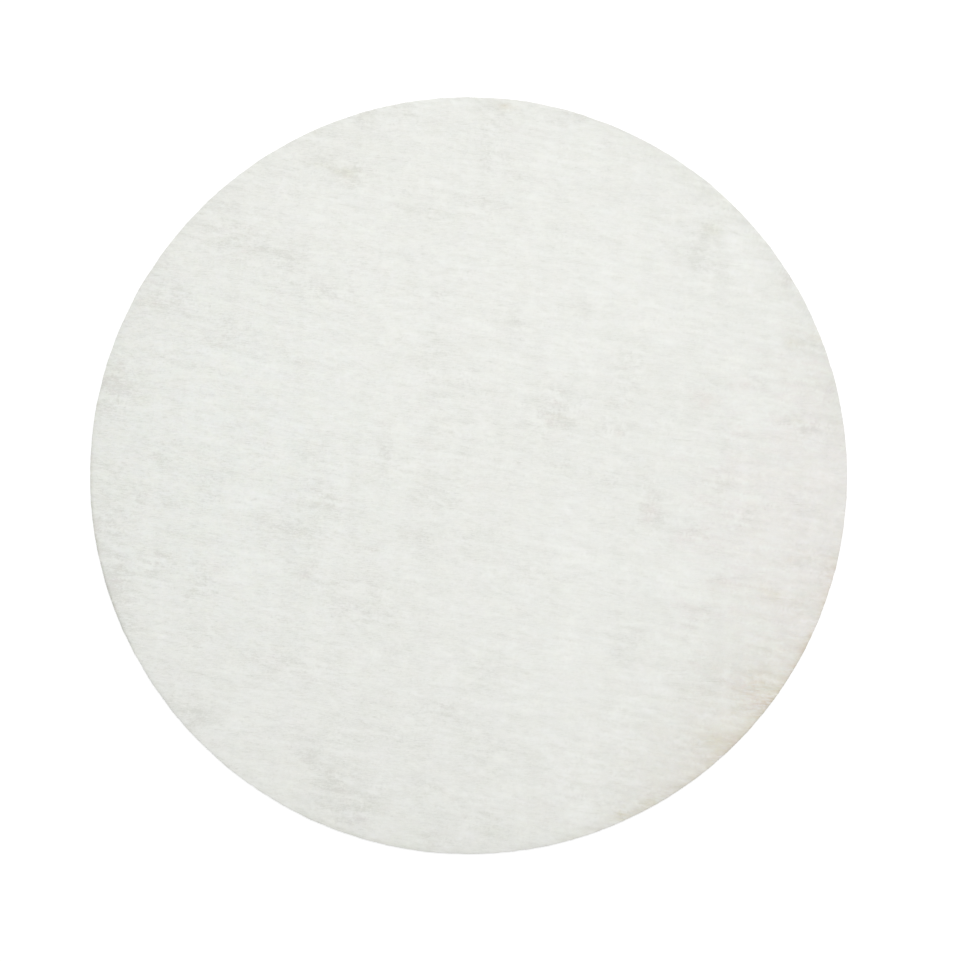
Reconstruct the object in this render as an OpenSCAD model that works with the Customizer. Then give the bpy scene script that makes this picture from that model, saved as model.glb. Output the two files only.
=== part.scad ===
// Filter paper disc: one round sheet of soft paper, cut from flat stock with a steel rule die.
// It lies on its underside, and +Z points out of its top face.
// The origin is at the centre of the underside.

/* [Sheet] */
// Diameter across the cut edge
disc_d = 90; // [20:1:240]
// Thickness of the paper away from the edge
sheet_t = 0.39; // [0.3:0.01:1.2]

/* [Pressed band] */
// Width of the band beside the cut, where the die presses the top face down
press_w = 0.8; // [0.4:0.05:2]
// How far the top face has fallen where the band reaches the line of the cut
press_drop = 0.06; // [0.02:0.005:0.08]

/* [Cut edge] */
// Radius of the shoulder that rolls from the pressed band into the cut
shoulder_r = 0.08; // [0.02:0.01:0.1]
// Height of the torn lip below the clean part of the cut
tear_h = 0.08; // [0.02:0.01:0.1]
// How far the torn lip draws in on its way down to the underside
tear_in = 0.03; // [0.01:0.005:0.06]

/* [Hidden] */
disc_r = disc_d / 2;
paper_white = [0.91, 0.914, 0.894];
press_steps = 8;
shoulder_steps = 6;
round_steps = 240;

// The band's arc leaves the top face level, and would meet the line of the cut press_drop lower.
press_r = (press_w * press_w + press_drop * press_drop) / (2 * press_drop);
press_x = disc_r - press_w;
press_z = sheet_t - press_r;

// The shoulder's arc takes over where both arcs slope alike, and ends upright at the cut.
turn_a = asin((press_w - shoulder_r) / (press_r - shoulder_r));
shoulder_x = disc_r - shoulder_r;
shoulder_z = press_z + (press_r - shoulder_r) * cos(turn_a);

// Points along an arc about (x, z), from the first step on, because an outline has its start already.
// Angles lean from +Z towards the cut.
function arc_points(x, z, radius, start_a, end_a, steps) = [
    for (i = [1 : steps])
        let (a = start_a + (end_a - start_a) * i / steps)
        [x + radius * sin(a), z + radius * cos(a)]
];

// Half of the sheet's section, from its axis along the top, down the cut and back underneath
module sheet_section() {
    top_face = [[0, sheet_t], [press_x, sheet_t]];
    pressed_band = arc_points(press_x, press_z, press_r, 0, turn_a, press_steps);
    shoulder = arc_points(shoulder_x, shoulder_z, shoulder_r, turn_a, 90, shoulder_steps);
    clean_cut_foot = [[disc_r, tear_h]];
    underside = [[disc_r - tear_in, 0], [0, 0]];
    polygon(concat(top_face, pressed_band, shoulder, clean_cut_foot, underside));
}

module paper_disc() {
    color(paper_white)
        rotate_extrude($fn = round_steps)
            sheet_section();
}

paper_disc();
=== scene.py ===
"""The looks of a filter paper disc: its felted sheet, its loose fibres, the studio and the camera.

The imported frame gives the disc's size and place. Lengths are in metres, apart from names that end
in _mm. The sheet is felted as the real one is: fibres are laid at random along a grain, thicker in
flocs, and the height of that felt shapes the top face and tints it.
"""

import logging
import math
from dataclasses import dataclass
from enum import Enum
from typing import Any, ClassVar, Iterator, Mapping, Sequence, Union

import bpy
import numpy as np
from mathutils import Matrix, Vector
from mathutils.geometry import delaunay_2d_cdt

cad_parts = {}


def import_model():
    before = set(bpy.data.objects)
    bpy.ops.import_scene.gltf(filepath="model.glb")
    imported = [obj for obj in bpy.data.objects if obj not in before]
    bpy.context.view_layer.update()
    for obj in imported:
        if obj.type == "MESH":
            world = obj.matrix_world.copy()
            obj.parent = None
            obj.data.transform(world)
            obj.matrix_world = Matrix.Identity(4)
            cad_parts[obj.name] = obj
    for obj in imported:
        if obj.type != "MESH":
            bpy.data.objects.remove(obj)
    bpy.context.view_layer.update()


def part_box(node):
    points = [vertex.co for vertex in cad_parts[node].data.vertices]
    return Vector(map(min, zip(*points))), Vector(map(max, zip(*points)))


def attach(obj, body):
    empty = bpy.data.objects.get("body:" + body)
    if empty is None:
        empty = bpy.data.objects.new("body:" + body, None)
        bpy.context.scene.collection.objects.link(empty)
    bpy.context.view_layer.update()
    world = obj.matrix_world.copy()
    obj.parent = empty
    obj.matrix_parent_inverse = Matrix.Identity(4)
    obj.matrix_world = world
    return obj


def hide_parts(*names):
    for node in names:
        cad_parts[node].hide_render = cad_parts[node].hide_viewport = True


BODY = "root"
CAD_NODE = "paper_disc"
MM = 1e-3
FULL_TURN = 2 * math.pi
UNWRAP_MAP = "OFBake"
FELT_ATTRIBUTE = "felt"
# The stored colour of the stains, together with the painted shade along the rim.
MARK_AND_SHADE_ATTRIBUTE = "marks"
SHADE_ATTRIBUTE = "shade"

log = logging.getLogger("filter_paper_disc")

Colour = tuple[float, float, float, float]
Triple = tuple[float, float, float]
Points = np.ndarray


# --- Shader expressions ---------------------------------------------------------------------


class Signal:
    """A number that changes over a surface, with arithmetic that adds Math nodes."""

    def __init__(self, desk: "NodeDesk", socket: bpy.types.NodeSocket) -> None:
        """Wrap an output socket.

        Args:
            desk: The desk that adds nodes to the socket's tree.
            socket: The output that gives the number.
        """
        self.desk = desk
        self.socket = socket

    def maths(self, operation: str, *others: "Number") -> "Signal":
        """Put this signal first and the others after it through one Math node.

        Args:
            operation: The Math node's operation.
            others: Its further operands.

        Returns:
            The node's result.
        """
        return self.desk.maths(operation, self, *others)

    def __add__(self, other: "Number") -> "Signal":
        """Add."""
        return self.maths("ADD", other)

    __radd__ = __add__

    def __sub__(self, other: "Number") -> "Signal":
        """Take other away."""
        return self.maths("SUBTRACT", other)

    def __rsub__(self, other: "Number") -> "Signal":
        """Take this away from other."""
        return self.desk.maths("SUBTRACT", other, self)

    def __mul__(self, other: "Number") -> "Signal":
        """Multiply."""
        return self.maths("MULTIPLY", other)

    __rmul__ = __mul__

    def __truediv__(self, other: "Number") -> "Signal":
        """Divide by other."""
        return self.maths("DIVIDE", other)

    def __pow__(self, power: "Number") -> "Signal":
        """Raise to a power."""
        return self.maths("POWER", power)

    def at_least(self, low: "Number") -> "Signal":
        """The larger of this and low."""
        return self.maths("MAXIMUM", low)

    def at_most(self, high: "Number") -> "Signal":
        """The smaller of this and high."""
        return self.maths("MINIMUM", high)

    def rise(self, low: "Number", high: "Number") -> "Signal":
        """Climb smoothly from 0 at low to 1 at high.

        Args:
            low: Where the climb starts.
            high: Where it ends. It may lie below low, and the climb then runs downwards.

        Returns:
            The climb, which stays at 0 and 1 past its ends.
        """
        values = {"Value": self, "From Min": low, "From Max": high}
        node = self.desk.add("ShaderNodeMapRange", {"interpolation_type": "SMOOTHSTEP"}, values)
        return Signal(self.desk, node.outputs["Result"])


Number = Union[Signal, float, int]
Link = Union[Signal, bpy.types.NodeSocket, float, int, Sequence[float]]


class NodeDesk:
    """Adds nodes to one material's or world's tree."""

    noise_gain: ClassVar[float] = 4.0
    hue_shares: ClassVar[Triple] = (0.7, 0.7, 1.45)

    def __init__(self, owner: bpy.types.Material | bpy.types.World) -> None:
        """Start with an empty tree.

        Args:
            owner: The material or world, whose nodes are cleared.
        """
        owner.use_nodes = True
        self.tree = owner.node_tree
        self.tree.nodes.clear()

    def add(
        self,
        kind: str,
        settings: Mapping[str, Any] | None = None,
        values: Mapping[str | int, Link] | None = None,
    ) -> bpy.types.Node:
        """Add a node, set it up, then fill its sockets.

        Args:
            kind: The node's type.
            settings: Its properties, which are set first.
            values: A value or a link for each socket named, by name or by place.

        Returns:
            The node.
        """
        node = self.tree.nodes.new(kind)
        for name, setting in (settings or {}).items():
            setattr(node, name, setting)
        for name, value in (values or {}).items():
            socket = node.inputs[name]
            if isinstance(value, Signal):
                value = value.socket
            if isinstance(value, bpy.types.NodeSocket):
                self.tree.links.new(value, socket)
            else:
                socket.default_value = value
        return node

    def maths(self, operation: str, *operands: Number) -> Signal:
        """Add one Math node.

        Args:
            operation: The node's operation.
            operands: Its operands, in order.

        Returns:
            Its result.
        """
        node = self.add("ShaderNodeMath", {"operation": operation}, dict(enumerate(operands)))
        return Signal(self, node.outputs[0])

    def vector(self, operation: str, *operands: Link) -> bpy.types.NodeSocket:
        """Add one Vector Math node.

        Args:
            operation: The node's operation.
            operands: Its operands, in order. A signal counts for all three numbers.

        Returns:
            Its result.
        """
        values = dict(enumerate(operands))
        return self.add("ShaderNodeVectorMath", {"operation": operation}, values).outputs[0]

    def point(self, x: Number, y: Number, z: Number) -> bpy.types.NodeSocket:
        """Join three numbers to a point."""
        return self.add("ShaderNodeCombineXYZ", {}, {"X": x, "Y": y, "Z": z}).outputs[0]

    def split(self, point: bpy.types.NodeSocket) -> tuple[Signal, Signal, Signal]:
        """Split a point into its three numbers."""
        outputs = self.add("ShaderNodeSeparateXYZ", {}, {"Vector": point}).outputs
        return Signal(self, outputs[0]), Signal(self, outputs[1]), Signal(self, outputs[2])

    def place_mm(self) -> bpy.types.NodeSocket:
        """Give the place on the surface, in mm."""
        place = self.add("ShaderNodeTexCoord").outputs["Object"]
        return self.vector("MULTIPLY", place, (1 / MM,) * 3)

    def blotches(
        self, point: bpy.types.NodeSocket, size: Triple, detail: float, roughness: float
    ) -> bpy.types.Node:
        """Add a texture of soft blotches.

        Args:
            point: Where to read it.
            size: How long its blotches are each way, in the point's unit.
            detail: How many finer octaves it holds.
            roughness: How strong the finer octaves are.

        Returns:
            The texture node.
        """
        at = self.vector("MULTIPLY", point, [1 / length for length in size])
        values = {"Vector": at, "Scale": 1.0, "Detail": detail, "Roughness": roughness}
        return self.add("ShaderNodeTexNoise", {"noise_dimensions": "3D"}, values)

    def noise(self, point: bpy.types.NodeSocket, size: Triple, detail: float = 0.0) -> Signal:
        """Give soft noise about zero, which mostly stays within 1. Its size is in the point's unit."""
        node = self.blotches(point, size, detail, roughness=0.5)
        return (Signal(self, node.outputs["Fac"]) - 0.5) * self.noise_gain

    def hues(self, point: bpy.types.NodeSocket, size: Triple, depth: Signal) -> bpy.types.NodeSocket:
        """Give soft noise about 1 in each of red, green and blue.

        Args:
            point: Where to read the noise.
            size: How long its blotches are each way, in the point's unit.
            depth: How far it swings.

        Returns:
            The colour.
        """
        mottle = self.blotches(point, size, detail=1.0, roughness=0.7).outputs["Color"]
        swing = self.vector("SUBTRACT", mottle, (0.5, 0.5, 0.5))
        swing = self.vector("MULTIPLY", self.vector("MULTIPLY", swing, self.hue_shares), depth)
        return self.vector("ADD", swing, (1.0, 1.0, 1.0))

    def stored(self, name: str) -> bpy.types.Node:
        """Read what the mesh stores under a name, as a number at Fac and a colour at Color."""
        settings = {"attribute_name": name, "attribute_type": "GEOMETRY"}
        return self.add("ShaderNodeAttribute", settings)

    def mix(self, blend: str, share: Number, first: Link, second: Link) -> bpy.types.NodeSocket:
        """Mix two colours.

        Args:
            blend: How the second colour is mixed in.
            share: How much of it shows, from 0 to 1.
            first: The colour at 0.
            second: The colour that is mixed in.

        Returns:
            The mixed colour.
        """
        settings = {"data_type": "RGBA", "blend_type": blend, "clamp_factor": True}
        # The Mix node keeps its colour sockets at 6 and 7, and gives the colour at 2.
        return self.add("ShaderNodeMix", settings, {0: share, 6: first, 7: second}).outputs[2]

    def tinted_by(self, colour: Link, tint: Link) -> bpy.types.NodeSocket:
        """Multiply a colour by a tint."""
        return self.mix("MULTIPLY", 1.0, colour, tint)

    def paint(self, values: Mapping[str, Link]) -> None:
        """Finish a material with one Principled shader."""
        shader = self.add("ShaderNodeBsdfPrincipled", {}, values)
        self.add("ShaderNodeOutputMaterial", {}, {"Surface": shader.outputs[0]})


def linear(level: float) -> float:
    """Turn a display level from 0 to 255 into a linear one, by the sRGB curve."""
    share = level / 255
    return share / 12.92 if share <= 0.04045 else ((share + 0.055) / 1.055) ** 2.4


def display(red: float, green: float, blue: float) -> Colour:
    """Turn a colour given in display levels into a linear one."""
    return (linear(red), linear(green), linear(blue), 1.0)


# --- Meshes ---------------------------------------------------------------------------------


def along_grain(x: Points, y: Points, grain: float) -> tuple[Points, Points]:
    """Turn plan positions into distances along and across the grain.

    Args:
        x: Positions along X.
        y: Positions along Y.
        grain: The grain's angle from X.

    Returns:
        Distances along the grain, and across it to the left.
    """
    cos, sin = math.cos(grain), math.sin(grain)
    return x * cos + y * sin, y * cos - x * sin


def ripple(rng: np.random.Generator, around: float, count: int, spans: tuple[float, float]) -> Points:
    """Make an even, closed random line with a deviation of 1.

    Args:
        rng: The source of chance.
        around: The length of the closed line.
        count: How many points it has.
        spans: Its shortest wave, and the wave past which it no longer grows.

    Returns:
        Its height at each point.
    """
    finest, longest = spans
    waves = np.arange(count // 2 + 1) / around
    strength = 1 / np.maximum(waves, 1 / longest)
    strength[0] = 0
    strength[waves > 1 / finest] = 0
    phase = rng.uniform(0, FULL_TURN, len(waves))
    line = np.fft.irfft(strength * np.exp(1j * phase), count)
    return line / line.std()


def store(mesh: bpy.types.Mesh, name: str, values: Points) -> None:
    """Store a number or a colour for each point of a mesh.

    Args:
        mesh: The mesh.
        name: The attribute's name.
        values: A number, or red, green and blue, for each point.
    """
    kind, member = "FLOAT", "value"
    if values.ndim == 2:
        kind, member = "FLOAT_COLOR", "color"
        values = np.column_stack([values, np.ones(len(values))])
    layer = mesh.attributes.new(name, kind, "POINT")
    layer.data.foreach_set(member, np.ascontiguousarray(values, dtype=np.float32).ravel())


def add_unwrap(mesh: bpy.types.Mesh, corners: Points) -> None:
    """Store where each corner of a mesh lies on its flat map.

    Args:
        mesh: The mesh.
        corners: Two numbers from 0 to 1 for each corner.
    """
    layer = mesh.uv_layers.new(name=UNWRAP_MAP)
    layer.uv.foreach_set("vector", np.ascontiguousarray(corners, dtype=np.float32).ravel())


def make_piece(name: str, points: Points, faces: Sequence[Sequence[int]]) -> bpy.types.Object:
    """Make a smooth-shaded object and link it to the scene.

    Args:
        name: The object's name.
        points: The place of each point.
        faces: The points of each face.

    Returns:
        The object.
    """
    mesh = bpy.data.meshes.new(name)
    mesh.from_pydata(points.tolist(), [], faces)
    mesh.shade_smooth()
    mesh.update()
    piece = bpy.data.objects.new(name, mesh)
    bpy.context.scene.collection.objects.link(piece)
    return piece


def fill_circle(grid: Points, rim: Points) -> tuple[Points, list[list[int]]]:
    """Join scattered points inside a closed rim into triangles.

    Args:
        grid: The points inside, in plan.
        rim: The rim's points, in order, in plan.

    Returns:
        The plan of all points, with the rim's first, and the triangles.
    """
    plan = [Vector(place) for place in np.vstack([rim, grid]).tolist()]
    inside_only, same_point = 1, 1e-9
    filled = delaunay_2d_cdt(plan, [], [list(range(len(rim)))], inside_only, same_point, False)
    places = np.array([tuple(place) for place in filled[0]])
    faces = np.array([tuple(face) for face in filled[2]])
    # A triangle that lies outside a hollow of the rim joins three rim points the wrong way round.
    first, second, third = places[np.sort(faces, axis=1)].transpose(1, 0, 2)
    turned = np.cross(second - first, third - first) <= 0
    outside = turned & (faces < len(rim)).all(axis=1)
    return places, faces[~outside].tolist()


@dataclass(frozen=True)
class Scatter:
    """A staggered grid of points over a circle, closer across the grain than along it.

    The stray is a share of the pitch. The margin keeps the points off the circle.
    """

    along: float
    across: float
    stray: float
    margin: float

    def scatter(self, rng: np.random.Generator, radius: float, grain: float) -> Points:
        """Scatter the points.

        Args:
            rng: The source of chance.
            radius: The circle's radius, before the margin is taken off.
            grain: The grain's angle from X.

        Returns:
            The points, in plan.
        """
        reach = radius - self.margin
        columns, rows = (
            np.arange(-math.ceil(reach / step), math.ceil(reach / step) + 1)
            for step in (self.along, self.across)
        )
        u, v = np.meshgrid(columns * self.along, rows * self.across)
        u = u + (rows % 2)[:, None] * (self.along / 2)
        u = u + rng.uniform(-self.stray, self.stray, u.shape) * self.along
        v = v + rng.uniform(-self.stray, self.stray, v.shape) * self.across
        plan = np.column_stack([line.ravel() for line in along_grain(u, v, -grain)])
        return plan[np.hypot(plan[:, 0], plan[:, 1]) < reach]


# --- The felt and the marks -----------------------------------------------------------------


@dataclass(frozen=True)
class Stock:
    """One lot of fibres: how they gather in flocs, how long they are and how far they turn."""

    flocs: int
    fibres_a_floc: int
    shortest: float
    longest: float
    floc_long: float
    floc_wide: float
    angle_spread: float
    weight: float


@dataclass(frozen=True)
class Floc:
    """A spot where the felt came out thick, or thin if its levels are below 0.

    long_mm is half its length, along the grain, and wide_mm is half its width.
    """

    x_mm: float
    y_mm: float
    long_mm: float
    wide_mm: float
    levels: float

    edge: ClassVar[float] = 2.1
    gain: ClassVar[float] = 1.15
    fade: ClassVar[float] = 1.3

    @property
    def reach_mm(self) -> float:
        """How far from its middle the spot still shows."""
        return self.fade * max(self.long_mm, self.wide_mm)

    def pile(self, x: Points, y: Points, grain: float) -> Points:
        """Say how much the spot adds.

        Args:
            x: Positions along X, in mm.
            y: Positions along Y, in mm.
            grain: The grain's angle from X.

        Returns:
            The levels that it adds at each position.
        """
        u, v = along_grain(x - self.x_mm, y - self.y_mm, grain)
        away = (u / self.long_mm) ** 2 + (v / self.wide_mm) ** 2
        return self.gain * self.levels * np.exp(-self.edge * away)


# The thick and thin spots, as seen from above with Y up.
FLOCS = (
    # Broad clouds.
    Floc(-21, 28, 14, 9, -1), Floc(33, -1, 14, 9, -1), Floc(8, -31, 10, 11, 1.4),
    Floc(4, 23, 18, 7, 1.1), Floc(-34, 18, 7, 8, -1.2), Floc(-32, 6, 6, 4, 1),
    Floc(22, -23, 9, 4, 0.9), Floc(2, 4, 12, 7, -0.8), Floc(-18, 31, 7, 3.6, 2.6),
    Floc(-27, 27.8, 6, 2, -2.6), Floc(-29, 16.5, 6, 3, -2.2), Floc(12.5, 19.8, 6, 1.6, -2.2),
    Floc(-27.8, 13.2, 6.5, 1.6, 2.8), Floc(18.6, 10.8, 2.8, 6, -2.2), Floc(31, -12.6, 6, 1.2, -2.4),
    Floc(-22.5, -6, 6, 2.2, -3.2), Floc(-23, -22, 6, 2.2, -2.9), Floc(13.8, -37.4, 4.2, 6, 4),
    Floc(-24.5, -25.4, 7, 2.4, 1.4), Floc(-19, 12, 11, 0.6, 1.4),
    # Along the rim.
    Floc(38, 13.5, 4, 4, -1), Floc(38, -22, 4, 4, -1.4), Floc(1, 42, 5, 3, -1.2),
    Floc(-28, -30, 4, 4, 2), Floc(22.7, -38, 4, 3, -1), Floc(-17.5, 36.6, 3, 1.4, -3),
    Floc(2, 41.3, 2.2, 2.2, -3), Floc(4.5, 43.6, 4, 1.6, -2.5), Floc(-12.5, 42, 2.5, 1.6, -3),
    Floc(12, 42.4, 3, 1.4, -2.5), Floc(-27.8, 32.2, 2.4, 1.8, 0.8), Floc(-36.5, 22, 5, 4.4, -2.6),
    Floc(28.8, 29, 2.2, 2, -4), Floc(33, 26.5, 3.4, 4, 3.8), Floc(37.5, 23.5, 2.4, 2.4, -2.2),
    Floc(40.2, 15.4, 5, 3.4, -0.8), Floc(-42, 10.6, 3.4, 4.6, -5.4), Floc(39.6, 6, 3, 1.6, -5.2),
    Floc(42.5, 10.5, 2.4, 3, -2.2), Floc(-39, -1.8, 2.2, 2, -2.2), Floc(36.5, -14.5, 5, 1.6, -1.2),
    Floc(39.8, -9.6, 3.4, 2.4, -2.2), Floc(-43, -6, 2.6, 5, -3), Floc(-42, -12.6, 2.8, 4.8, -6),
    Floc(-40.5, -17.6, 2.4, 2.2, -3), Floc(-32.7, -28.2, 3.4, 2.2, -5.5),
    Floc(-16, -37, 3.4, 3.6, -2.4), Floc(-12.7, -39.8, 2.4, 1.8, -6.6),
    Floc(1.6, -40.8, 2.6, 1.8, -3.2), Floc(4, -42.6, 3.4, 1.6, -2.4), Floc(-3.2, -43.3, 3.2, 1.6, -3),
    Floc(-34.6, 23.6, 2.4, 1.8, 1.6), Floc(7, -43, 4, 2, 1.6), Floc(-25.2, -35.4, 3.4, 3, 2.2),
    Floc(28.6, 32.6, 3, 2.4, -2), Floc(-7, 43.2, 5, 1.6, -1.8), Floc(-19, 38.8, 3.4, 2, -0.8),
    Floc(37.2, -22.8, 3.6, 1.8, 2.6), Floc(39.4, 21.4, 2.4, 1.8, 2.4), Floc(43.2, -10.6, 2.4, 3, -2),
    Floc(42.4, 0.2, 4, 2.4, 1.8), Floc(-43, 0.2, 2.4, 3, -2), Floc(18.2, -39, 3, 3, -2),
    Floc(-16.5, -39.4, 5, 3, -1.8), Floc(0.2, -43.4, 3, 1.6, 2), Floc(-41.6, -9.4, 2, 1.4, 2.8),
    Floc(1.2, 43.2, 2, 1.4, 3.2), Floc(16.8, -35.2, 2.4, 2, -4), Floc(33.4, -24.3, 2, 1.6, -2.4),
    Floc(-17.2, 39.8, 2.4, 1.4, -2.4), Floc(-21.5, -37.4, 3, 2.2, 2), Floc(28.6, -30, 2.4, 1.8, 0.8),
    Floc(-41, -4.4, 2.4, 1.8, -2.2), Floc(-26.8, -33.2, 2.6, 1.6, -1.8),
    Floc(-39.2, -8.7, 2, 1.4, 2.4), Floc(-5.4, -42.2, 1.8, 1.2, 1.6), Floc(-0.8, 41.7, 1.8, 1.6, 2.2),
    Floc(37.4, 12.8, 2.2, 1.6, 2.4), Floc(28.8, -27.4, 2.4, 1.6, 2.4),
    Floc(12.4, 38.8, 3.2, 2.2, 1.8), Floc(-36.1, -16.8, 2.8, 2.4, 1.8),
    Floc(-30.4, 31.2, 2.6, 1.8, -1.8), Floc(26.3, -30.9, 2.2, 1.8, -1.6),
    Floc(40.2, 12.4, 2, 1.6, 2.4), Floc(-42.2, 9.3, 2.2, 1.8, -2.4),
    Floc(27.9, -32.6, 2.2, 1.8, -2.4), Floc(43, 4.8, 2, 1.8, -1.8), Floc(8.8, -40, 2.6, 1.8, -1.8),
    # The upper left of the face.
    Floc(-14, 36.2, 3, 1.8, -6), Floc(-6, 31.7, 5, 1.8, -2.5), Floc(-22, 26.2, 3.2, 2, -3.2),
    Floc(-17.5, 22.5, 4, 2.4, -2.8), Floc(-3.8, 15.5, 3, 4, -1.6), Floc(-20.5, 13.5, 3.4, 1.5, -2.8),
    Floc(-1.1, 8.4, 2.2, 2.2, 3.8), Floc(-10, 2, 2, 2.6, -4.2), Floc(-18.5, 2, 2.6, 2.6, -2.2),
    Floc(-30.5, 0, 2.6, 2.6, -2.2), Floc(-37, 2.6, 3.4, 1.6, -2.8), Floc(-7.6, 15.6, 3, 3.4, 1.6),
    Floc(-17.8, 25.4, 3, 2.4, 1.8), Floc(-2, 9.6, 5, 4, -1.6), Floc(-30, 22.1, 2.8, 1.8, 3),
    Floc(-24.4, 22.4, 2.4, 1.6, 2), Floc(-15.9, 24.3, 2.4, 1.6, 2.6), Floc(-8.1, 10.8, 2.2, 1.8, 2.6),
    Floc(-4, 21.4, 3.6, 1.6, -3.4), Floc(-31.7, 20.2, 2.4, 1.4, -2.4),
    Floc(-4.4, 12.2, 1.8, 1.6, -2.6), Floc(-6.4, 19.2, 3.2, 2, 2.4), Floc(-11.3, 32.3, 3.4, 2.2, 2.2),
    Floc(-1.5, 35.9, 2.8, 1.8, 2.2), Floc(-29.6, 15, 2.8, 1.4, -2.2), Floc(-0.9, 19.7, 2.2, 1.6, 2.4),
    Floc(-2.1, 13.1, 1.8, 1.4, 1.8), Floc(-3.3, 6.2, 2.2, 1.6, -2.4), Floc(-34.6, 17.4, 3, 2.4, 2),
    Floc(-22, 27.9, 3, 1.8, 1.8), Floc(-21.2, 22.9, 2.4, 1.8, -2), Floc(-30.9, 17.1, 2.4, 1.6, 2.2),
    # The upper right.
    Floc(2.8, 38, 2.6, 1.8, -3.6), Floc(2.3, 32, 2.6, 3.2, -2.5), Floc(10.2, 36.4, 2.6, 2.6, 2.5),
    Floc(27.3, 26.4, 3.4, 2, -3.6), Floc(5.3, 18, 3.2, 4.2, -3), Floc(16.2, 23.5, 2.2, 3.8, 2.2),
    Floc(10.3, 9.2, 3.6, 3, -3), Floc(11.7, 6.7, 2.8, 1.6, -2.6), Floc(17.4, 5.2, 3.4, 1.8, -2.8),
    Floc(27.8, 10.4, 1.8, 3.2, -3.2), Floc(33.5, 8.2, 3.2, 2.2, 1), Floc(10.7, 1, 3, 1.6, -2.4),
    Floc(13.6, 12.6, 3.2, 4, 3.2), Floc(22.5, 19, 5, 2.6, 1.6), Floc(6.8, 36.4, 4, 2.2, -2),
    Floc(34, 11, 2.6, 1.8, -2), Floc(28.8, 24.8, 3, 2, -2), Floc(4.6, 14.6, 4.4, 2.6, 2),
    Floc(30.4, 13.2, 2.2, 2, 2.6), Floc(14.6, 3.4, 2.2, 1.6, 2.4), Floc(32, 5.5, 2.4, 1.8, -3),
    Floc(15.6, 0.2, 2.4, 1.6, -2.8), Floc(10.5, 9.6, 2.2, 1.4, -2.6), Floc(8.7, 6, 2.4, 2.2, -3.8),
    Floc(24.3, 23.1, 3.4, 2.6, 2.2), Floc(27.9, 3.9, 2.6, 2, 2.4), Floc(34.8, 12.1, 2.2, 1.8, -1.6),
    Floc(0.2, 12.1, 2.6, 1.8, -1.8), Floc(5.8, 38.2, 2, 1.6, 1.2), Floc(27.8, 17.4, 2.8, 2, 2.4),
    Floc(36, 6.2, 2.4, 1.8, 1.6), Floc(8.8, 20.3, 2.4, 1.6, 2.2), Floc(22.2, 16.4, 2.8, 2.2, 2),
    Floc(17, 29.7, 3.2, 2.4, 1.8), Floc(24, 7.8, 3, 2.2, -1.8), Floc(29.9, 11, 1.8, 1.6, 2),
    Floc(31.3, 7.3, 2, 1.4, 2.2), Floc(19.9, 14.6, 2.2, 1.6, -2.4),
    # The lower left.
    Floc(-34.8, -3.2, 2.6, 1.6, -2.2), Floc(-17, -3.5, 5, 3, -2.8), Floc(-19, -7.8, 3, 1.8, -2.4),
    Floc(-19.3, -11, 2.2, 1.8, -2.6), Floc(-16.8, -13, 3.4, 1.6, -3), Floc(-13, -16.4, 4, 1.8, -4),
    Floc(-11.5, -12.8, 2.4, 2.4, -2.2), Floc(-5.4, -7.5, 3.6, 2.4, -2.8),
    Floc(-4, -2.4, 2.8, 3, -3.2), Floc(-26.5, -2.8, 5.5, 1.9, 2.4), Floc(-27, -11.8, 3.2, 3.2, 2.2),
    Floc(-32, -12.2, 3, 2.6, -4.4), Floc(-37.2, -10.4, 2.4, 1.6, -6), Floc(-2.6, -28.2, 3.2, 2, -3.7),
    Floc(-19.2, -33.5, 3, 2.6, -3.2), Floc(-7.5, -31.5, 2.8, 1.8, -2.3),
    Floc(-4.8, -37.2, 3.2, 1.8, -2.2), Floc(-13.5, -29, 5, 2.4, -1.4),
    Floc(-28.8, -14.2, 4, 2.4, 1.6), Floc(-1, -38.2, 2.6, 1.8, 4.4),
    Floc(-13.8, -14.6, 2.2, 1.2, 1.6), Floc(-34.6, -13.6, 2.4, 2.2, 2.4),
    Floc(-14.9, -35.8, 2.4, 2, -4), Floc(-8.4, -11.8, 3.2, 2.4, 2.4),
    Floc(-30.4, -2.2, 2.8, 2.2, -2.6), Floc(-11.2, -9.3, 3, 2.2, -2.4),
    Floc(-16, -31.2, 2.8, 2, -1.8), Floc(-28.3, -4.8, 2.6, 1.6, 2.2), Floc(-7.6, -21.8, 2, 1.4, -2.4),
    Floc(-11, -37.4, 2.4, 1.8, -2.6), Floc(-18.5, -2.4, 2.6, 1.6, -2.4),
    Floc(-17.9, -23.2, 2.4, 1.4, -2.2), Floc(-9.8, -13.9, 2.2, 1.6, -2.2),
    Floc(-0.9, -20.7, 2.8, 2, 1.8), Floc(-30.7, -18.7, 3, 2, -1.8), Floc(-9.9, -22.9, 2.2, 1.4, 1.8),
    Floc(-28.9, -16.4, 2.8, 1.8, 1.8), Floc(-29.3, -7.3, 2.8, 1.8, 1.8),
    Floc(-35, -9.2, 2.2, 1.6, 1.6), Floc(-31, -13.4, 2.2, 1.4, -1.6),
    Floc(-22.6, -16.1, 2.4, 1.6, -2.2), Floc(-8.3, -26.9, 2.8, 1.8, -1.8),
    # The lower right.
    Floc(22, -4.7, 2.4, 2, -4), Floc(21.5, -2, 2, 2.2, -3.2), Floc(30, -1.5, 2.4, 4, -2.2),
    Floc(32.5, -5.6, 3.2, 2.2, -4.8), Floc(32.3, -3, 2.2, 1.8, 2.2), Floc(34.9, -7.6, 3, 2.4, 3),
    Floc(12.6, -8.8, 3.8, 2.4, 2.4), Floc(11.7, -20, 2.4, 5.4, 3), Floc(27.2, -7.5, 3.6, 2, -5),
    Floc(25, -12, 5, 3.6, 2.2), Floc(0.8, -7, 3.2, 2.6, -2.2), Floc(7.5, -10.8, 3, 1.6, -2.2),
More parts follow.
